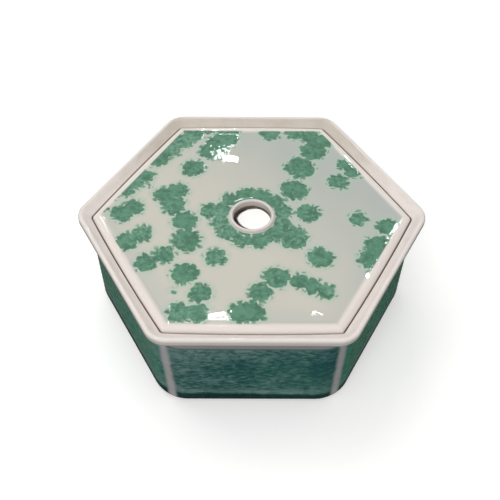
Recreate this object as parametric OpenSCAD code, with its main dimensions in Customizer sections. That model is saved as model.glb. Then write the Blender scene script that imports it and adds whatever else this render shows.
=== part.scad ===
// Flower frog: a hexagonal glazed bowl and the pierced cover that drops into its rim.
// Two opposite corners lie on the X axis, two flat sides face -Y and +Y, and the base stands on z = 0.

/* [Overall] */
// Distance between opposite flat sides of the rim
across_flats = 173; // [168:1:182]
// Height from the table to the crest of the rim
height = 67; // [60:1:80]

/* [Bowl] */
// Height of the overhanging lip round the rim
lip_h = 6.5; // [6.5:0.5:8]
// Radius of the lip's corners, seen from above
lip_corner_r = 13; // [10:1:16]
// How far the wall stands back from the lip
wall_setback = 4.5; // [4:0.5:6]
// Radius of the wall's upright corners
wall_corner_r = 20; // [17:1:22]
// Thickness of the wall
wall_t = 7.5; // [7:0.5:9]
// Thickness of the floor
floor_t = 6; // [5:0.5:9]
// Radius of the edge between wall and base
base_edge_r = 5.5; // [3:0.5:6]
// Depth of the hollow under the base
foot_h = 1.5; // [1:0.5:2.5]

/* [Cover] */
// Width of the rim outside the cover
rim_w = 7.5; // [7:0.5:8]
// Gap all round between cover and rim
cover_gap = 0.6; // [0.4:0.1:1]
// How far the cover's edge lies below the crest of the rim
cover_sink = 4; // [3.5:0.5:4]
// Thickness of the cover's edge, which rests on the ledge
edge_t = 2.2; // [2:0.1:2.2]
// Width of the raised border round the cover
border_w = 3; // [2:0.5:4]
// Height that the border rises above the cover's edge
border_h = 1.9; // [1.5:0.1:2.5]
// Depth of the shallow field inside the border
field_depth = 0.8; // [0.4:0.1:1]
// Diameter of the hole for stems
hole_d = 21.5; // [16:0.5:30]
// Width of the rounded ring round the hole
ring_w = 2.1; // [1.6:0.1:3]

/* [Hidden] */
$fn = 96;
slice_h = 0.2;
arc_step = 22.5;
eps = 0.1;

rim_flat = across_flats / 2;
wall_flat = rim_flat - wall_setback;
opening_flat = rim_flat - rim_w;
opening_corner_r = 2;
lip_z = height - lip_h;
lip_lower_r = 3.5;
lip_upper_r = 1.5;
land_z = height - cover_sink;
crest_w = 0.5;
crest_in_flat = rim_flat - lip_upper_r - crest_w;

neck_inset = 3.2;
neck_flat = wall_flat - neck_inset;
neck_corner_r = wall_corner_r - neck_inset;
shoulder_r = 3.5;
shoulder_z = lip_z - 6.5;
cove_w = 3.7;
cavity_flat = wall_flat - wall_t;
cavity_corner_r = wall_corner_r - wall_t;
cavity_edge_r = 8;
foot_w = 8;

seat_gap = 0.1;
ledge_z = land_z - edge_t;
cover_z = ledge_z + seat_gap;
cover_flat = opening_flat - cover_gap;
cover_corner_r = opening_corner_r - cover_gap;
crest_flat = cover_flat - border_h * 1.2;
border_z = land_z + border_h;
field_z = border_z - field_depth;
field_slope = 3.5;
field_corner_r = 8;
locating_h = 1;
locating_gap = 1.5;

hole_r = hole_d / 2;
ring_r = ring_w / 2;
ring_z = field_z + ring_r - 0.1;
collar_w = 2.4;
collar_h = 0.5;

// The shape that fills the space between rounded hexagonal outlines,
// each given as [distance of the flats from the middle, corner radius, height of its lower face]
module blend(outlines) {
    hull() for (o = outlines, turn = [0:60:300])
        rotate(turn) translate([(o[0] - o[1]) / cos(30), 0, o[2]])
            cylinder(r = o[1], h = slice_h, $fn = 36);
}

// Outlines of an edge rounded with radius r, from the flat face at angle 0 to the upright side at 90;
// up is 1 for a bottom edge that starts at height z and -1 for a top edge that ends there
function edge_arc(flat, corner_r, r, z, up) = [
    for (a = [0:arc_step:90])
        [flat - r * (1 - sin(a)), corner_r - r * (1 - sin(a)), z + up * r * (1 - cos(a)) - (up < 0 ? slice_h : 0)]
];

// The upright wall with its rounded base edge and rounded shoulder
module wall() {
    blend(concat(
        edge_arc(wall_flat, wall_corner_r, base_edge_r, 0, 1),
        edge_arc(wall_flat, wall_corner_r, shoulder_r, shoulder_z, -1)
    ));
}

// The neck between shoulder and lip, and the cove that widens from it into the underside of the lip
module neck() {
    blend([
        [neck_flat, neck_corner_r, shoulder_z - shoulder_r],
        [neck_flat, neck_corner_r, lip_z]
    ]);
    blend([
        [neck_flat, neck_corner_r, lip_z - cove_w],
        [neck_flat + cove_w, neck_corner_r + cove_w, lip_z]
    ]);
}

// The overhanging lip, full below and nearly sharp at the crest
module lip() {
    blend(concat(
        edge_arc(rim_flat, lip_corner_r, lip_lower_r, lip_z, 1),
        edge_arc(rim_flat, lip_corner_r, lip_upper_r, height, -1)
    ));
}

// What is taken out for the cover: its recess down to the ledge, and the land that falls from the crest to it
module recess() {
    blend([
        [opening_flat, opening_corner_r, ledge_z],
        [opening_flat, opening_corner_r, height]
    ]);
    blend([
        [opening_flat, opening_corner_r, land_z],
        [crest_in_flat, lip_corner_r - lip_upper_r - crest_w, height - slice_h],
        [crest_in_flat, lip_corner_r - lip_upper_r - crest_w, height]
    ]);
}

// The water basin, with a rounded edge where wall and floor meet
module cavity() {
    blend(concat(
        edge_arc(cavity_flat, cavity_corner_r, cavity_edge_r, floor_t, 1),
        [[cavity_flat, cavity_corner_r, height]]
    ));
}

// The shallow hollow inside the foot ring
module foot_hollow() {
    foot_flat = wall_flat - base_edge_r - foot_w;
    blend([
        [foot_flat, wall_corner_r - foot_w, -foot_h],
        [foot_flat, wall_corner_r - foot_w, 0],
        [foot_flat - foot_h, wall_corner_r - foot_w - foot_h, foot_h - slice_h]
    ]);
}

module bowl() {
    color("seagreen") difference() {
        union() {
            wall();
            neck();
            lip();
        }
        cavity();
        recess();
        foot_hollow();
    }
}

// The cover's plate, bevelled from its edge up to the border's crest
module plate() {
    blend([
        [cover_flat, cover_corner_r, cover_z],
        [cover_flat, cover_corner_r, land_z - slice_h],
        [crest_flat, cover_corner_r, border_z - slice_h]
    ]);
}

// The shallow field inside the border
module field() {
    blend([
        [crest_flat - border_w - field_slope / 2, field_corner_r, field_z],
        [crest_flat - border_w + field_slope / 2, field_corner_r / 2, border_z]
    ]);
}

// The step under the plate that keeps the cover centred in the bowl's mouth
module locating_step() {
    blend([
        [cavity_flat - locating_gap, cavity_corner_r - locating_gap, cover_z - locating_h],
        [cavity_flat - locating_gap, cavity_corner_r - locating_gap, cover_z]
    ]);
}

// The rounded ring round the hole and the low collar that blends it into the field
module hole_ring() {
    rotate_extrude() translate([hole_r + ring_r, ring_z]) circle(ring_r);
    translate([0, 0, field_z - eps]) {
        cylinder(r1 = hole_r + ring_w + collar_w, r2 = hole_r + ring_r, h = collar_h + eps);
        cylinder(r = hole_r + ring_r, h = ring_z - field_z + eps);
    }
}

module cover() {
    color("honeydew") difference() {
        union() {
            difference() {
                plate();
                field();
            }
            locating_step();
            hole_ring();
        }
        translate([0, 0, cover_z - 2 * locating_h]) cylinder(r = hole_r, h = height);
    }
}

bowl();
cover();
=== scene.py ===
import math
import bpy
import bmesh
from mathutils import Matrix, Vector


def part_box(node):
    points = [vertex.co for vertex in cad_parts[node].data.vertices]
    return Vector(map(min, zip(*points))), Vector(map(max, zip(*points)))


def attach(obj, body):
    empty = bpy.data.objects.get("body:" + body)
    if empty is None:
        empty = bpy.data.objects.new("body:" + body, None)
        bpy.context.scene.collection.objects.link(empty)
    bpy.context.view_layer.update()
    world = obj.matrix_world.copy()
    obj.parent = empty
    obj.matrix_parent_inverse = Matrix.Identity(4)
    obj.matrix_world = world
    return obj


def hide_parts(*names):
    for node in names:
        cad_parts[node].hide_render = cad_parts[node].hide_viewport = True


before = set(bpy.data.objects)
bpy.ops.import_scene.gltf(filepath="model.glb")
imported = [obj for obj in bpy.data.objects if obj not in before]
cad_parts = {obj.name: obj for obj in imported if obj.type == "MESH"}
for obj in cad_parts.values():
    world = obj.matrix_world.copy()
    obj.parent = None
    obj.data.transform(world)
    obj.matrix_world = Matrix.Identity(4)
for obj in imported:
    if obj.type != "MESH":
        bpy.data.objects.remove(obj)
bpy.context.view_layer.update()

# A hexagonal flower frog in glazed ware: a green-sided bowl and the stamped cover that drops into its rim.
# The meshes are shaped in millimetres and scaled to metres at the end.

mm = 0.001
cos30 = math.cos(math.radians(30))
tan30 = math.tan(math.radians(30))
sideTurn = math.radians(60)      # what one side of the hexagon takes up, seen from the middle

loops = {
    "cornerSteps": 8,      # faces round each corner
    "sideCuts": 11,        # cuts along each straight side
    "leastRise": 0.015,    # mm between the levels of neighbouring loops
    "merge": 0.0005,       # mm within which vertices are joined
}
loops["count"] = 6 * (loops["cornerSteps"] + 1 + loops["sideCuts"])


def once(items):
    # the items without repeats, in an order that stays the same from run to run
    return list(dict.fromkeys(items))


def sweep(centre, radius, start, end, steps, axis):
    # stations round an arc in the section; angles in degrees, 0 points outwards and 90 up
    found = []
    for i in range(steps + 1):
        turn = math.radians(start + (end - start) * i / steps)
        found.append((centre[0] + radius * math.cos(turn), axis, centre[1] + radius * math.sin(turn), 0.0))
    return found


def outline(bm, flat, axis, z, bow):
    # one rounded hexagon: its sides lie flat mm from the middle, its corners turn about points
    # that lie axis mm out, and the middle of each side stands bow mm further out than its ends
    place = Matrix.Translation((0, 0, z)) @ Matrix.Rotation(math.radians(30), 4, 'Z')
    ring = bmesh.ops.create_circle(bm, cap_ends=True, segments=6, radius=flat / cos30, matrix=place)
    rounded = bmesh.ops.bevel(bm, geom=ring["verts"], offset=(flat - axis) * tan30, offset_type='OFFSET',
                              segments=loops["cornerSteps"], profile=0.5, affect='VERTICES', material=-1)
    face = rounded["verts"][0].link_faces[0]
    edges = list(face.edges)
    bmesh.ops.delete(bm, geom=[face], context='FACES_ONLY')
    edges.sort(key=lambda edge: edge.calc_length())
    cut = bmesh.ops.subdivide_edges(bm, edges=edges[-6:], cuts=loops["sideCuts"])
    pieces = [item for item in cut["geom_split"] if isinstance(item, bmesh.types.BMEdge)]
    whole = once(edges + pieces)
    half = axis * tan30
    for vert in once(vert for edge in whole for vert in edge.verts):
        turn = math.atan2(vert.co.y, vert.co.x)
        side = math.radians(30 + 60 * math.floor(math.degrees(turn) / 60))
        out = Vector((math.cos(side), math.sin(side), 0))
        along = abs(vert.co.y * out.x - vert.co.x * out.y)
        if along < half:
            vert.co += out * bow * (1 - (along / half) ** 2)
    return whole


def hoop(bm, radius, z):
    # a round loop with as many vertices as an outline
    ring = bmesh.ops.create_circle(bm, cap_ends=False, segments=loops["count"], radius=radius,
                                   matrix=Matrix.Translation((0, 0, z)))
    return once(edge for vert in ring["verts"] for edge in vert.link_edges)


def loft(bm, rows):
    # skins one loop after another and returns the first and the last: a row of four numbers is an
    # outline, and a row of two is a hoop; no two neighbours lie in one plane, because bridging
    # needs to see which way it goes
    made = []
    level = None
    for row in rows:
        hexagonal = len(row) == 4
        z = row[2] if hexagonal else row[1]
        if level is not None and abs(z - level) < loops["leastRise"]:
            z = level + loops["leastRise"]
        level = z
        made.append(outline(bm, row[0], row[1], z, row[3]) if hexagonal else hoop(bm, row[0], z))
    for lower, upper in zip(made, made[1:]):
        bmesh.ops.bridge_loops(bm, edges=lower + upper)
    return made[0], made[-1]


def finishPiece(bm, name, material):
    bmesh.ops.remove_doubles(bm, verts=bm.verts, dist=loops["merge"])
    bmesh.ops.recalc_face_normals(bm, faces=bm.faces)
    bmesh.ops.scale(bm, vec=(mm, mm, mm), verts=bm.verts)
    mesh = bpy.data.meshes.new(name)
    bm.to_mesh(mesh)
    bm.free()
    for face in mesh.polygons:
        face.use_smooth = True
    mesh.materials.append(material)
    piece = bpy.data.objects.new(name, mesh)
    bpy.context.scene.collection.objects.link(piece)
    weighted = piece.modifiers.new("even shading", 'WEIGHTED_NORMAL')
    weighted.mode = 'FACE_AREA_WITH_ANGLE'
    weighted.keep_sharp = False
    return piece


class Wire:
    # a value in a material; sums on it add Math nodes
    def __init__(self, mix, socket):
        self.mix = mix
        self.socket = socket

    def math(self, operation, *others):
        values = {0: self}
        for i, other in enumerate(others):
            values[i + 1] = other
        return self.mix.add('ShaderNodeMath', {"operation": operation}, values)

    def __add__(self, other):
        return self.math('ADD', other)

    def __radd__(self, other):
        return self.math('ADD', other)

    def __sub__(self, other):
        return self.math('SUBTRACT', other)

    def __rsub__(self, other):
        return self.mix.add('ShaderNodeMath', {"operation": 'SUBTRACT'}, {0: other, 1: self})

    def __mul__(self, other):
        return self.math('MULTIPLY', other)

    def __rmul__(self, other):
        return self.math('MULTIPLY', other)

    def least(self, other):
        return self.math('MINIMUM', other)

    def most(self, other):
        return self.math('MAXIMUM', other)


class Recipe:
    # what a material or the world is mixed from
    def __init__(self, owner):
        owner.use_nodes = True
        self.owner = owner
        self.nodes = owner.node_tree.nodes
        self.links = owner.node_tree.links
        self.nodes.clear()

    def add(self, kind, settings=None, values=None, out=0):
        node = self.nodes.new(kind)
        for key, value in (settings or {}).items():
            setattr(node, key, value)
        for key, value in (values or {}).items():
            if isinstance(value, Wire):
                self.links.new(value.socket, node.inputs[key])
            else:
                node.inputs[key].default_value = value
        return Wire(self, node.outputs[out]) if node.outputs else None

    def place(self, stretch=(1, 1, 1)):
        # Object coordinates in millimetres
        spot = self.add('ShaderNodeTexCoord', out="Object")
        return self.add('ShaderNodeMapping', values={"Vector": spot, "Scale": tuple(s / mm for s in stretch)})

    def axes(self, spot):
        x = self.add('ShaderNodeSeparateXYZ', values={0: spot}, out="X")
        y, z = (Wire(self, x.socket.node.outputs[name]) for name in ("Y", "Z"))
        return x, y, z

    def aroundMiddle(self, x, y):
        # a place's turn about the upright axis, its reach from that axis, and how far out
        # the flat side is that it would lie on
        turn = y.math('ARCTAN2', x)
        reach = (x * x + y * y).math('SQRT')
        fromSide = turn.math('WRAP', sideTurn, 0.0) - sideTurn / 2      # 0 at the middle of a side
        return turn, reach, reach * fromSide.math('COSINE')

    def noise(self, where, size, detail=2.0, roughness=0.5, out=0):
        # size is in mm
        return self.add('ShaderNodeTexNoise', values={"Vector": where, "Scale": 1 / size, "Detail": detail,
                                                      "Roughness": roughness}, out=out)

    def step(self, value, low, high):
        # 0 at low and 1 at high, with a soft rise between; low may be the larger
        return self.add('ShaderNodeMapRange', {"interpolation_type": 'SMOOTHSTEP'},
                        {"Value": value, "From Min": low, "From Max": high})

    def blend(self, factor, first, second):
        values = {0: factor}
        for key, colour in ((6, first), (7, second)):
            values[key] = colour if isinstance(colour, Wire) else (*colour, 1)
        return self.add('ShaderNodeMix', {"data_type": 'RGBA'}, values, out=2)

    def vector(self, operation, first, second, out="Vector"):
        return self.add('ShaderNodeVectorMath', {"operation": operation}, {0: first, 1: second}, out=out)

    def relief(self, height):
        # raised glaze and grit: a height of 1 stands for 0.6 mm, taken at half strength
        return self.add('ShaderNodeBump', values={"Strength": 0.5, "Distance": 0.6 * mm, "Height": height})

    def rawClay(self, spot, pale, dark):
        return self.blend(self.noise(spot, 0.9, 4, 0.7), pale, dark)

    def finish(self, values):
        shader = self.add('ShaderNodeBsdfPrincipled', values=values)
        self.add('ShaderNodeOutputMaterial', values={"Surface": shader})
        return self.owner


def srgb(red, green, blue):
    # a colour as a glaze swatch gives it, 0 to 255, made linear
    parts = (red / 255, green / 255, blue / 255)
    return tuple(c / 12.92 if c <= 0.04 else ((c + 0.055) / 1.055) ** 2.4 for c in parts)


def aimed(name, data, start, aim, roll=0.0):
    # puts a camera or lamp at start, looking at aim, both in mm, and rolled by some degrees
    piece = bpy.data.objects.new(name, data)
    bpy.context.scene.collection.objects.link(piece)
    start = Vector(start) * mm
    look = Vector(aim) * mm - start
    turned = look.to_track_quat('-Z', 'Y').to_matrix().to_4x4()
    piece.matrix_world = Matrix.Translation(start) @ turned @ Matrix.Rotation(math.radians(roll), 4, 'Z')
    return piece


view = {
    "from": (-4.26, -286.94, 364.75),   # mm
    "aim": (-1.17, -27.45, 67.0),
    "roll": 0.79,                       # degrees
    "lens": 52.8, "sensor": 36,         # mm
    "nearest": 10,                      # mm, closer than which nothing shows
}


def makeCamera():
    data = bpy.data.cameras.new("camera")
    data.lens = view["lens"]
    data.sensor_width = view["sensor"]
    data.clip_start = view["nearest"] * mm
    bpy.context.scene.camera = aimed("camera", data, view["from"], view["aim"], view["roll"])


studio = {
    "sky": 0.57,           # strength of the soft light from above
    "below": 0.05,         # strength of the light from below the horizon
    "horizon": (-0.05, 0.35),      # how far up the light starts and stops growing
    "skyColour": (1.0, 0.985, 0.965),
    "floorColour": srgb(252, 252, 252),
    "floorGrain": srgb(248, 248, 248),
    "floorGlow": 0.26,
    "floorRadius": 2.0,    # metres
    "floorSides": 96,
    "sweepStep": 0.25,     # metres
    "sweepSteps": 12,      # steps in which the floor turns up into a backdrop
    # soft boxes, which light the piece but don't show in its glaze: place, aim, width, power
    "boxes": {
        "backBox": ((-420, 420, 950), (0, 0, 60), 700, 2.6),
        "frontBox": ((-160, -720, 640), (0, 0, 50), 600, 3.0),
    },
    # narrow lamps, which make the shine: a spot on the cover and its height over the field, how far
    # the lamp is from there along x, y and z, its width and height, its power and its roll
    "tubes": {
        "backTube": ((-15.6, 49.5, 0), (-17.5, 521.5, 466.2), (36, 3.5), 0.05, -12),
        "frontTube": ((-17.8, -67.9, 0), (-25.2, 411.6, 565.6), (26, 4), 0.045, 6),
        "rightTube": ((33, -70, 0), (70, 406, 564.9), (16, 1), 0.003, 0),
        "edgeTube": ((-7, 76, 0.9), (-8.4, 210, 667.1), (58, 3), 0.08, 0),
        "rightStrip": ((72, -17, -0.1), (-122, 1064, 735), (150, 9), 0.5, -22),
        "backStrip": ((55, 50, -0.1), (-561, 1668, 2427), (146, 26), 1.2, -30),
        "thinTube": ((33, -70, 0), (70, 413, 560.7), (13, 1), 0.002, 0),
    },
    "ringOver": 2.0,       # mm that the ring round the hole stands over the cover's field
}


def areaLamp(name, start, aim, width, height, power, roll=0.0):
    data = bpy.data.lights.new(name, 'AREA')
    data.shape = 'RECTANGLE'
    data.size = width * mm
    data.size_y = height * mm
    data.energy = power
    return aimed(name, data, start, aim, roll)


def makeLamps():
    for name, (start, aim, width, power) in studio["boxes"].items():
        box = areaLamp(name, start, aim, width, width, power)
        box.visible_glossy = False
    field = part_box("cover")[1][2] / mm - studio["ringOver"]
    for name, (spot, offset, size, power, roll) in studio["tubes"].items():
        aim = Vector(spot) + Vector((0, 0, field))
        areaLamp(name, aim + Vector(offset), aim, *size, power, roll)


def makeSky():
    world = bpy.data.worlds.new("studio")
    recipe = Recipe(world)
    way = recipe.add('ShaderNodeTexCoord', out="Generated")
    up = recipe.add('ShaderNodeSeparateXYZ', values={0: way}, out="Z")
    low, high = studio["horizon"]
    strength = recipe.step(up, low, high) * (studio["sky"] - studio["below"]) + studio["below"]
    colour = (*studio["skyColour"], 1)
    light = recipe.add('ShaderNodeBackground', values={"Color": colour, "Strength": strength})
    recipe.add('ShaderNodeOutputWorld', values={"Surface": light})
    bpy.context.scene.world = world


def makeFloor():
    # a round floor that sweeps up into a backdrop
    bm = bmesh.new()
    disc = bmesh.ops.create_circle(bm, cap_ends=True, segments=studio["floorSides"],
                                   radius=studio["floorRadius"])
    rim = once(edge for vert in disc["verts"] for edge in vert.link_edges)
    for i in range(studio["sweepSteps"]):
        turn = math.radians(90) * (i + 0.5) / studio["sweepSteps"]
        grown = bmesh.ops.extrude_edge_only(bm, edges=rim)
        verts = [item for item in grown["geom"] if isinstance(item, bmesh.types.BMVert)]
        rim = [item for item in grown["geom"] if isinstance(item, bmesh.types.BMEdge)
               and all(vert in verts for vert in item.verts)]
        reach = verts[0].co.xy.length
        wider = (reach + studio["sweepStep"] * math.cos(turn)) / reach
        bmesh.ops.scale(bm, vec=(wider, wider, 1), verts=verts)
        bmesh.ops.translate(bm, vec=(0, 0, studio["sweepStep"] * math.sin(turn)), verts=verts)
    mesh = bpy.data.meshes.new("floor")
    bm.to_mesh(mesh)
    bm.free()
    for face in mesh.polygons:
        face.use_smooth = len(face.vertices) == 4
    floor = bpy.data.objects.new("floor", mesh)
    bpy.context.scene.collection.objects.link(floor)
    recipe = Recipe(bpy.data.materials.new("pale paper"))
    colour = recipe.blend(recipe.noise(recipe.place(), 180), studio["floorColour"], studio["floorGrain"])
    mesh.materials.append(recipe.finish({"Base Color": colour, "Roughness": 0.9, "Specular IOR Level": 0.0,
                                         "Emission Color": (1, 1, 1, 1),
                                         "Emission Strength": studio["floorGlow"]}))
    floor.visible_diffuse = False      # the floor is seen, but it doesn't tint the glaze
    floor.visible_glossy = False
    floor.visible_shadow = False


peepLamp = {
    "from": (-18, -285, 366),     # mm
    "aim": (0.5, 1.0, 65),
    "power": 15.0,
    "cone": 7,                    # degrees
    "fade": 1.0,                  # how much of the cone fades out towards its edge
    "soft": 2,                    # mm, the lamp's own radius
}


def makePeepLamp(bowl):
    # a small lamp beside the lens shines through the hole and lights only the bowl's white inside
    inside = bpy.data.collections.new("inside light")
    inside.objects.link(bowl)
    bpy.context.scene.collection.children.link(inside)
    data = bpy.data.lights.new("peep", 'SPOT')
    data.spot_size = math.radians(peepLamp["cone"])
    data.spot_blend = peepLamp["fade"]
    data.shadow_soft_size = peepLamp["soft"] * mm
    data.energy = peepLamp["power"]
    lamp = aimed("peep", data, peepLamp["from"], peepLamp["aim"])
    lamp.light_linking.receiver_collection = inside


bowlSizes = {
    # "Flat" is how far the six sides lie from the middle, "Axis" how far out their corners turn, in mm
    "wallFlat": 82.0, "wallAxis": 62.0,
    "wallLevels": (16, 27, 38),
    "baseRound": 5.5, "shoulderRound": 3.5, "shoulderZ": 54.0,
    "neckFlat": 78.8, "coveRound": 3.7,
    "lipFlat": 86.5, "lipAxis": 74.5, "lipZ": 60.5, "lipRound": 3.5, "crestRound": 1.5, "height": 67.0,
    # the crest turns over into the land, which falls to the mouth: flat, axis, height, bow
    "land": [(84.55, 74.5, 66.97, 0.1), (84.1, 74.5, 66.8, 0.15), (83.65, 74.5, 66.52, 0.2),
             (83.1, 74.5, 66.14, 0.25), (81.5, 75.3, 64.95, 0.5), (80.0, 76.2, 63.82, 0.7),
             (79.55, 76.4, 63.5, 0.8)],
    "mouthFlat": 79.0, "mouthAxis": 76.4, "mouthBow": 0.8, "mouthZ": 63.0, "ledgeZ": 60.8,
    "insideFlat": 74.5, "insideRound": 8.0, "insideLevels": (45, 30), "floorZ": 6.0,
    "footFlat": 68.5, "footAxis": 56.5, "footHollow": 1.5,
}


def makeBowl(material):
    s = bowlSizes
    wall = s["wallAxis"]
    lip = s["lipAxis"]
    outer = s["wallFlat"]
    foot = s["footFlat"]
    hollow = s["footHollow"]
    rows = [(20, 14, hollow, 0), (56, 46, hollow, 0), (foot - 2.2, s["footAxis"], hollow, 0),
            (foot - 1.5, s["footAxis"], hollow - 0.1, 0), (foot - 0.5, s["footAxis"], 0.5, 0),
            (foot + 0.3, s["footAxis"], 0.05, 0), (foot + 1.0, wall - 4, 0, 0),
            (outer - s["baseRound"] - 0.6, wall, 0, 0)]
    rows += sweep((outer - s["baseRound"], s["baseRound"]), s["baseRound"], -90, 0, 8, wall)
    turnsIn = s["shoulderZ"] - s["shoulderRound"]
    for level in (s["baseRound"] + 0.8, *s["wallLevels"], turnsIn - 0.8):
        rows.append((outer, wall, level, 0))
    rows += sweep((outer - s["shoulderRound"], turnsIn), s["shoulderRound"], 0, 70, 6, wall)

    neck = s["neckFlat"]
    cove = s["coveRound"]
    rows += [(neck + 0.35, wall, s["shoulderZ"] - 0.05, 0), (neck + 0.08, wall, s["shoulderZ"] + 0.3, 0),
             (neck, wall, s["shoulderZ"] + 0.9, 0)]
    rows += sweep((neck + cove, s["lipZ"] - cove), cove, 180, 96, 6, wall)
    rows += sweep((s["lipFlat"] - s["lipRound"], s["lipZ"] + s["lipRound"]), s["lipRound"], -82, 0, 7, lip)
    crestZ = s["height"] - s["crestRound"]
    rows += [(s["lipFlat"], lip, crestZ - 0.4, 0)]
    rows += sweep((s["lipFlat"] - s["crestRound"], crestZ), s["crestRound"], 0, 90, 6, lip)
    rows += s["land"]

    mouth = s["mouthFlat"]
    axis = s["mouthAxis"]
    bow = s["mouthBow"]
    ledge = s["ledgeZ"]
    rows += [(mouth + 0.28, axis, s["mouthZ"] + 0.28, bow), (mouth + 0.1, axis, s["mouthZ"], bow),
             (mouth, axis, s["mouthZ"] - 0.4, bow), (mouth, axis, ledge + 0.5, bow),
             (mouth - 0.15, axis, ledge + 0.15, bow), (mouth - 0.5, axis, ledge, bow),
             (76.4, 68, ledge, bow / 2)]

    inner = s["insideFlat"]
    curve = s["insideRound"]
    rows += [(inner + 0.7, wall, ledge, 0), (inner + 0.2, wall, ledge - 0.2, 0)]
    for level in (ledge - 0.7, *s["insideLevels"], s["floorZ"] + curve + 0.8):
        rows.append((inner, wall, level, 0))
    rows += sweep((inner - curve, s["floorZ"] + curve), curve, 0, -90, 8, wall - 6)
    rows += [(inner - curve - 1, wall - 10, s["floorZ"], 0), (45, 38, s["floorZ"], 0),
             (20, 14, s["floorZ"], 0)]
    bm = bmesh.new()
    first, last = loft(bm, rows)
    bmesh.ops.edgeloop_fill(bm, edges=first)
    bmesh.ops.edgeloop_fill(bm, edges=last)
    piece = finishPiece(bm, "glazed_bowl", material)
    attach(piece, "bowl")
    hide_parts("bowl")
    return piece


bowlGlaze = {
    # whiteShade is a greyer white for the runs of glaze on the land, and for its painted shade over the back
    "white": srgb(238, 230, 225), "whiteShade": srgb(206, 198, 186),
    # the neck colour is white glaze painted grey, as painted shade under the lip
    "neck": srgb(146, 148, 150), "corner": srgb(208, 204, 206),
    # the darkest green on the next line is painted shade, low on the walls where they turn under to the foot
    "groove": srgb(60, 84, 80), "footShade": srgb(4, 52, 45),
    "inside": srgb(244, 243, 240),
    # the pale wash colour serves the streaked glaze, and also painted reflection and the painted highlight
    # over the foot
    "deep": srgb(46, 104, 98), "mid": srgb(72, 130, 120), "washAndSheen": srgb(142, 174, 169),
    "blue": srgb(26, 90, 90), "leaf": srgb(88, 206, 160),
    "clay": srgb(120, 100, 84), "clayDark": srgb(118, 98, 80),
    "panelHigh": 52.5,           # mm from the table to the top of the green
    "cornerReach": 91.6,         # mm from the middle to the wall's corners
    "cornerBand": (0.8, 4.0),    # mm from a corner band's middle to where it starts and stops fading
    "lean": 0.062,               # how much the front bands lean, and how much less on the right
    "leanRight": 0.045,
    "shiftRight": 1.4,           # mm
    # each pair is where a finish starts to show and where it shows in full, in mm: "Z" from the table,
    # and "Flat" from the middle to a flat side
    # the first two pairs bound a painted highlight over the foot, the third the painted shade under it
    "highlightTopZ": (16.5, 12.4), "highlightLowZ": (9.6, 11.2), "footShadeZ": (11.0, 8.0),
    "rimZ": (59.4, 60.9), "landFlat": (85.2, 83.4),
    "insideFlat": (76.2, 75.6), "insideLowZ": (1.2, 2.2), "insideHighZ": (61.0, 60.0),
    "underZ": (1.9, 1.7), "underFlat": (69.0, 68.2),
    "ledgeOuterFlat": (81.0, 80.4), "ledgeInnerFlat": (74.7, 75.3),
    "ledgeLowZ": (60.6, 60.75), "ledgeHighZ": (62.9, 62.5),
    "footZ": (0.9, 0.5), "footFlat": (67.8, 68.4),
}


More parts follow.
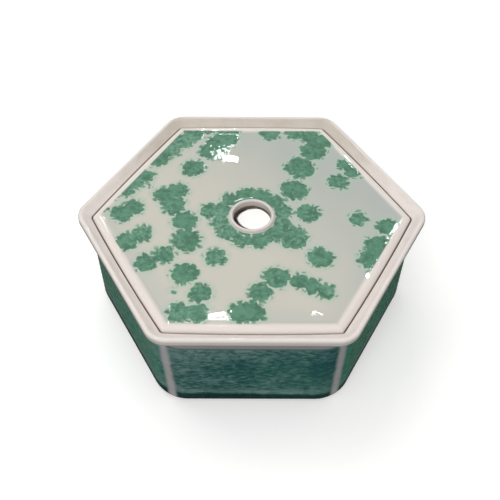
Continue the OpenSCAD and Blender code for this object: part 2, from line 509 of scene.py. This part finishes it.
def mixBowlGlaze():
    g = bowlGlaze
    recipe = Recipe(bpy.data.materials.new("sponged green glaze"))
    spot = recipe.place()
    x, y, z = recipe.axes(spot)
    turn, _, flat = recipe.aroundMiddle(x, y)
    fromCorner = turn.math('WRAP', sideTurn / 2, -sideTurn / 2)      # 0 at a corner
    wobble = recipe.noise(spot, 9, 3, 0.6) - 0.5
    fine = recipe.noise(spot, 2.2, 3, 0.6) - 0.5

    # upright pale bands between the panels drift a little towards the front and back panels near the foot
    right = recipe.step(x, -10, 10)
    lean = (bowlSizes["shoulderZ"] - z) * (g["lean"] - right * g["leanRight"])
    drift = (turn * 2).math('SINE') * lean + right * g["shiftRight"]
    edge = (fromCorner * g["cornerReach"] - drift).math('ABSOLUTE') + wobble * 1.6
    corner = 1 - recipe.step(edge, *g["cornerBand"])

    # streaks run level round the walls
    flow = recipe.place(stretch=(0.46, 0.46, 1.15))
    swirl = recipe.vector('MULTIPLY', recipe.noise(spot, 8, out="Color"), (3.2, 3.2, 3.2))
    flow = recipe.vector('ADD', flow, swirl)
    streak = recipe.noise(flow, 2.0, 3, 0.6)
    broad = recipe.noise(spot, 30, 1)
    patch = recipe.noise(recipe.place(stretch=(0.5, 0.5, 1)), 7, 2, 0.55)

    # the wash grows paler at the top; to the left and low on the four sides that stand aslant it is also
    # painted reflection
    aside = x.math('ABSOLUTE')
    paleAndSheen = recipe.step(x, 25, -50) * 0.12 + recipe.step(z, 34, 52) * 0.13
    paleAndSheen = paleAndSheen + recipe.step(aside, 46, 58) * recipe.step(z, 34, 14) * 0.10
    green = recipe.blend(recipe.step(streak * 0.7 + patch * 0.4, 0.42, 0.68), g["deep"], g["mid"])
    green = recipe.blend(recipe.step(broad - paleAndSheen, 0.55, 0.4) * 0.6, green, g["blue"])
    slanting = recipe.step(aside, 43, 56) * (0.42 + recipe.step(streak, 0.36, 0.66) * 0.5)
    green = recipe.blend(slanting, green, g["leaf"])
    washAndSheen = recipe.step(streak + (broad - 0.5) * 0.3 + (patch - 0.5) * 0.3 + paleAndSheen, 0.42, 0.90)
    # more of the pale wash to the left, as painted reflection
    green = recipe.blend(washAndSheen * (0.76 - recipe.step(x, -15, 25) * 0.30), green, g["washAndSheen"])

    # a painted highlight along the wall over the foot, and painted shade under it where the wall turns under
    low = z + wobble * 2.5 + (broad - 0.5) * 5
    footHighlight = recipe.step(low, *g["highlightTopZ"]) * recipe.step(low, *g["highlightLowZ"])
    green = recipe.blend(footHighlight * (0.30 + recipe.step(patch, 0.45, 0.65) * 0.45), green, g["washAndSheen"])
    green = recipe.blend(recipe.step(low, *g["footShadeZ"]) * 0.85, green, g["footShade"])

    high = g["panelHigh"]
    panel = recipe.step(z + wobble * 0.6, high, high - 0.8)
    paleness = 0.72 + patch * 0.26 + recipe.step(z, 14, 7) * 0.14
    colour = recipe.blend(corner * paleness, green, g["corner"])
    # over the green, the shoulder and cove take the grey neck colour, painted shade under the lip
    colour = recipe.blend(panel, g["neck"], colour)
    fromGroove = (z - (high - 0.2)).math('ABSOLUTE')
    colour = recipe.blend(recipe.step(fromGroove, 0.7, 0.2) * 0.6, colour, g["groove"])

    # the rim and everything over the cove are white
    onRim = recipe.step(z, *g["rimZ"])
    runs = recipe.noise(recipe.place(stretch=(0.6, 0.6, 2)), 7, 3, 0.6)
    # the land shows darker runs of glaze, and is painted darker over the back as shade
    landRunsAndBackShade = recipe.step(runs + fine * 0.2, 0.35, 0.75) * 0.3 + recipe.step(y, 20, 66) * 0.8
    rim = recipe.blend(landRunsAndBackShade * recipe.step(flat, *g["landFlat"]), g["white"], g["whiteShade"])
    colour = recipe.blend(onRim, colour, rim)

    # white inside and underneath, bare clay on the ledge and the foot
    inMouth = recipe.step(flat, *g["insideFlat"]) * recipe.step(z, *g["insideLowZ"])
    colour = recipe.blend(inMouth * recipe.step(z, *g["insideHighZ"]), colour, g["inside"])
    under = recipe.step(z, *g["underZ"]) * recipe.step(flat, *g["underFlat"])
    colour = recipe.blend(under, colour, g["inside"])
    ledge = recipe.step(flat, *g["ledgeOuterFlat"]) * recipe.step(flat, *g["ledgeInnerFlat"])
    ledge = ledge * recipe.step(z, *g["ledgeLowZ"]) * recipe.step(z + fine * 0.3, *g["ledgeHighZ"])
    foot = recipe.step(z, *g["footZ"]) * recipe.step(flat, *g["footFlat"])
    bare = ledge.most(foot)
    colour = recipe.blend(bare, colour, recipe.rawClay(spot, g["clay"], g["clayDark"]))

    ripple = recipe.noise(spot, 22, 1) * 0.5 + recipe.noise(flow, 3.0) * 0.06 * panel * (1 - onRim)
    grit = recipe.noise(spot, 0.5, 3, 0.6) * bare * 0.25
    shine = 0.05 + recipe.noise(spot, 5) * 0.04 + bare * 0.62
    return recipe.finish({"Base Color": colour, "Roughness": shine, "Normal": recipe.relief(ripple + grit),
                          "IOR": 1.5})


coverSizes = {
    "underZ": 59.9, "stepFlat": 73.0, "stepAxis": 62,
    "plateZ": 60.9, "flat": 78.4, "axis": 76.4, "bow": 0.8,
    # the border swells up from the edge and falls away to the field: flat, how far its corners
    # turn inside the edge's own, height, and its share of the bow
    "border": [(78.33, 0, 62.5, 1), (78.1, 0, 63.1, 1), (77.72, 0.2, 63.7, 1), (77.2, 0.6, 64.22, 1),
               (76.6, 1.2, 64.62, 1), (75.9, 2.0, 64.84, 1), (75.2, 3.0, 64.9, 1), (74.8, 3.8, 64.84, 1),
               (74.4, 4.6, 64.74, 0.95), (72.4, 8.6, 64.24, 0.95), (72.0, 9.6, 64.16, 0.9),
               (71.4, 11, 64.11, 0.85), (70.2, 14, 64.1, 0.8)],
    "fieldZ": 64.1,
    # round the hole the field rises in a low collar: radius, and height over the field
    "collar": [(17.0, 0), (15.4, 0.03), (14.4, 0.17), (13.5, 0.37), (13.0, 0.5)],
    "bore": 10.75, "boreZ": 62.0,
    "ringRound": 1.05, "ringZ": 65.05, "ringStart": -20, "ringEnd": 180, "ringSteps": 8,
}


def makeCover(material):
    s = coverSizes
    axis = s["axis"]
    bow = s["bow"]
    field = s["fieldZ"]
    bore = s["bore"]
    under = s["underZ"]
    step = s["stepFlat"]
    stepAxis = s["stepAxis"]
    plate = s["plateZ"]
    rows = [(bore, s["boreZ"]), (bore, under + 0.4), (bore + 0.12, under + 0.12), (bore + 0.4, under),
            (16, under), (30, 24, under, 0), (55, 46, under, 0), (step - 0.6, stepAxis, under, 0),
            (step - 0.1, stepAxis, under + 0.15, 0), (step, stepAxis, under + 0.5, 0),
            (step + 0.1, stepAxis, plate - 0.05, 0), (step + 0.6, stepAxis + 0.5, plate, 0)]
    rows += [(s["flat"] - 0.6, 75.6, plate, bow * 0.9), (s["flat"] - 0.15, axis, plate + 0.15, bow),
             (s["flat"], axis, plate + 0.5, bow), (s["flat"], axis, 62.0, bow)]
    rows += [(flat, axis - inside, z, bow * share) for flat, inside, z, share in s["border"]]
    rows += [(62, 50, field, bow * 0.6), (50, 38, field, bow * 0.4), (36, 24, field, 0), (24, 14, field, 0)]
    rows += [(radius, field + rise) for radius, rise in s["collar"]]
    centre = bore + s["ringRound"]
    for i in range(s["ringSteps"] + 1):
        turn = math.radians(s["ringStart"] + (s["ringEnd"] - s["ringStart"]) * i / s["ringSteps"])
        rows.append((centre + s["ringRound"] * math.cos(turn), s["ringZ"] + s["ringRound"] * math.sin(turn)))
    bm = bmesh.new()
    first, last = loft(bm, rows)
    bmesh.ops.bridge_loops(bm, edges=first + last)
    piece = finishPiece(bm, "glazed_cover", material)
    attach(piece, "cover")
    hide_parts("cover")
    return piece


# rows of stamped sprigs on the cover: from x, y to x, y in mm, how many, and how far each reaches
sprays = [
    (-57, 49, -36, 72, 4, 8),      # along the border, back left
    (-73, 21, -63, 33, 3, 6),
    (-79, 15, -84, 6, 2, 3),
    (-24, 56, -16, 69, 3, 9),
    (-28, 75, -10, 74, 2, 4),
    (-74, 2, -68, 7, 2, 7),        # left
    (-51, 17, -43, 21, 2, 7),
    (-45, 9, -38, -3, 2, 8),
    (-69, -19, -61, -13, 2, 7),
    (-57, -34, -48, -29, 2, 7),
    (-37, -67, -28, -68, 2, 7),    # front
    (-6, -67, 0, -67, 2, 7.5),
    (25, -46, 38, -53, 3, 6),
    (70, -22, 65, -31, 2, 9),      # right
    (57, 44, 61, 37, 2, 6),
    (28, 73, 46, 66, 3, 7),        # along the border, back right
]
# single sprigs: x, y, and how far each reaches
singles = [
    (-60, 25, 2), (-35, 40, 8), (-36, -18, 9), (-20, -30, 7), (-36, -42, 8), (-41, -53, 2), (-27, -55, 7),
    (4, -54, 7), (13, -44, 8), (37, -30, 8), (60, -1, 6), (76, -7, 7), (12, 72, 7), (38, 57, 9),
    (51, 29, 7), (29, 41, 10), (25, 22, 9), (32, 3, 8), (23, -16, 9),
]
wreath = {"reach": 18, "count": 12, "size": 6.5, "spur": (-24, 5)}       # the sprigs round the hole


def everySprig():
    found = list(singles)
    for startX, startY, endX, endY, count, size in sprays:
        for i in range(count):
            t = i / (count - 1)
            found.append((startX + (endX - startX) * t, startY + (endY - startY) * t, size))
    for i in range(wreath["count"]):
        turn = math.tau * (i + 0.4) / wreath["count"]
        found.append((wreath["reach"] * math.cos(turn), wreath["reach"] * math.sin(turn), wreath["size"]))
    found.append((*wreath["spur"], wreath["size"]))
    return found


coverGlaze = {
    # the cool colour is the cooler glaze near the border, and also the painted shade towards the back right
    "cream": srgb(207, 204, 193), "coolAndShade": srgb(183, 190, 184), "halo": srgb(176, 200, 182),
    "border": srgb(234, 226, 220), "ring": srgb(224, 217, 212),
    "green": srgb(82, 140, 112), "greenDark": srgb(52, 110, 84), "greenPale": srgb(120, 166, 142),
    "clay": srgb(150, 130, 110), "clayDark": srgb(118, 98, 80),
    "smear": 6.0,          # mm that a sprig's outline is pushed about
    "lobe": 4.2,           # mm between the lobes of a sprig
    "notchDeep": 3.0,      # mm that the gaps between its lobes run in
    "fringe": 1.1,         # mm of raggedness at its edge
    "hides": 0.93,         # how much of the cream the stamped green hides
    # each pair is where a finish starts to show and where it shows in full, in mm: "Z" from the table,
    # "Flat" from the middle to a flat side, and "Reach" from the middle
    "fieldFlat": (74.9, 74.0), "fieldZ": (64.0, 64.05), "fieldReach": (13.1, 13.6),
    "coolFlat": (60, 73), "borderFlat": (72.6, 75.2), "ringReach": (13.2, 12.7), "bareZ": (62.3, 62.0),
}


def mixCoverGlaze():
    g = coverGlaze
    recipe = Recipe(bpy.data.materials.new("stamped cover glaze"))
    spot = recipe.place()
    x, y, z = recipe.axes(spot)
    _, reach, flat = recipe.aroundMiddle(x, y)

    # how far each place lies from the nearest sprig's edge; less than 0 is inside
    level = recipe.add('ShaderNodeMapping', values={"Vector": spot, "Scale": (1, 1, 0)})
    push = recipe.vector('SUBTRACT', recipe.noise(level, 5.5, 2, 0.55, out="Color"), (0.5, 0.5, 0.5))
    smear = g["smear"]
    smeared = recipe.vector('ADD', level, recipe.vector('MULTIPLY', push, (smear, smear, 0)))
    core = None
    for px, py, size in everySprig():
        gap = recipe.vector('DISTANCE', smeared, (px, py, 0), out="Value") - size
        core = gap if core is None else core.least(gap)

    # notches between the lobes
    bent = recipe.vector('ADD', level, recipe.vector('MULTIPLY', push, (smear / 2, smear / 2, 0)))
    toNotch = recipe.add('ShaderNodeTexVoronoi', {"voronoi_dimensions": '2D', "feature": 'DISTANCE_TO_EDGE'},
                         {"Vector": bent, "Scale": 1 / g["lobe"], "Randomness": 0.85}) * g["lobe"]
    cut = (1 - recipe.step(toNotch, 0.0, 1.2)) * recipe.step(core, -4.0, 0.5)
    ragged = (recipe.noise(spot, 1.5, 2, 0.6) - 0.5) * g["fringe"]
    onField = recipe.step(flat, *g["fieldFlat"]) * recipe.step(z, *g["fieldZ"])
    onField = onField * recipe.step(reach, *g["fieldReach"])
    stamp = recipe.step(core + cut * g["notchDeep"] + ragged, 1.4, -1.0) * onField
    halo = recipe.step(core, 3.4, -0.5) * onField

    # cream with painted shade towards the back right, and cooler glaze near the border
    toneAndShade = recipe.noise(spot, 40, 1) * 0.5 + recipe.step(x * 0.8 + y * 0.6, -40, 90) * 0.9
    base = recipe.blend(recipe.step(toneAndShade, 0.2, 1.1), g["cream"], g["coolAndShade"])
    base = recipe.blend(recipe.step(flat, *g["coolFlat"]) * 0.35, base, g["coolAndShade"])
    base = recipe.blend(recipe.step(flat, *g["borderFlat"]), base, g["border"])
    base = recipe.blend(halo * 0.6, base, g["halo"])

    mottle = recipe.noise(spot, 2.4, 3, 0.62)
    blotch = recipe.noise(spot, 7)
    weight = recipe.noise(spot, 30, 1) - 0.5      # some sprigs are stamped more heavily
    ink = recipe.blend(recipe.step(mottle * 0.6 + blotch * 0.5, 0.42, 0.66), g["greenDark"], g["green"])
    faint = recipe.step(mottle * 0.5 + recipe.noise(spot, 1.3) * 0.5 + weight * 0.5, 0.5, 0.72)
    ink = recipe.blend(faint * 0.8, ink, g["greenPale"])
    colour = recipe.blend(stamp * g["hides"], base, ink)
    colour = recipe.blend(recipe.step(reach, *g["ringReach"]), colour, g["ring"])

    # bare clay underneath
    fine = recipe.noise(spot, 2.2, 3, 0.6) - 0.5
    bare = recipe.step(z + fine * 0.5, *g["bareZ"])
    colour = recipe.blend(bare, colour, recipe.rawClay(spot, g["clay"], g["clayDark"]))

    ripple = recipe.noise(spot, 20, 1) * 0.22 + recipe.noise(spot, 5, 1) * 0.015
    grain = recipe.noise(spot, 2.4, 1, 0.6) * stamp * 0.15 + recipe.noise(spot, 0.5, 3, 0.6) * bare * 0.25
    shine = 0.012 + recipe.noise(spot, 6) * 0.014 + bare * 0.62
    return recipe.finish({"Base Color": colour, "Roughness": shine, "Normal": recipe.relief(ripple + grain),
                          "IOR": 1.5})


makeCamera()
print("camera set")
makeSky()
makeLamps()
makeFloor()
print("studio lit")
bowl = makeBowl(mixBowlGlaze())
print("bowl made:", len(bowl.data.polygons), "faces")
cover = makeCover(mixCoverGlaze())
print("cover made:", len(cover.data.polygons), "faces")
makePeepLamp(bowl)
print("inside lit")
bpy.context.scene.view_settings.view_transform = 'Standard'
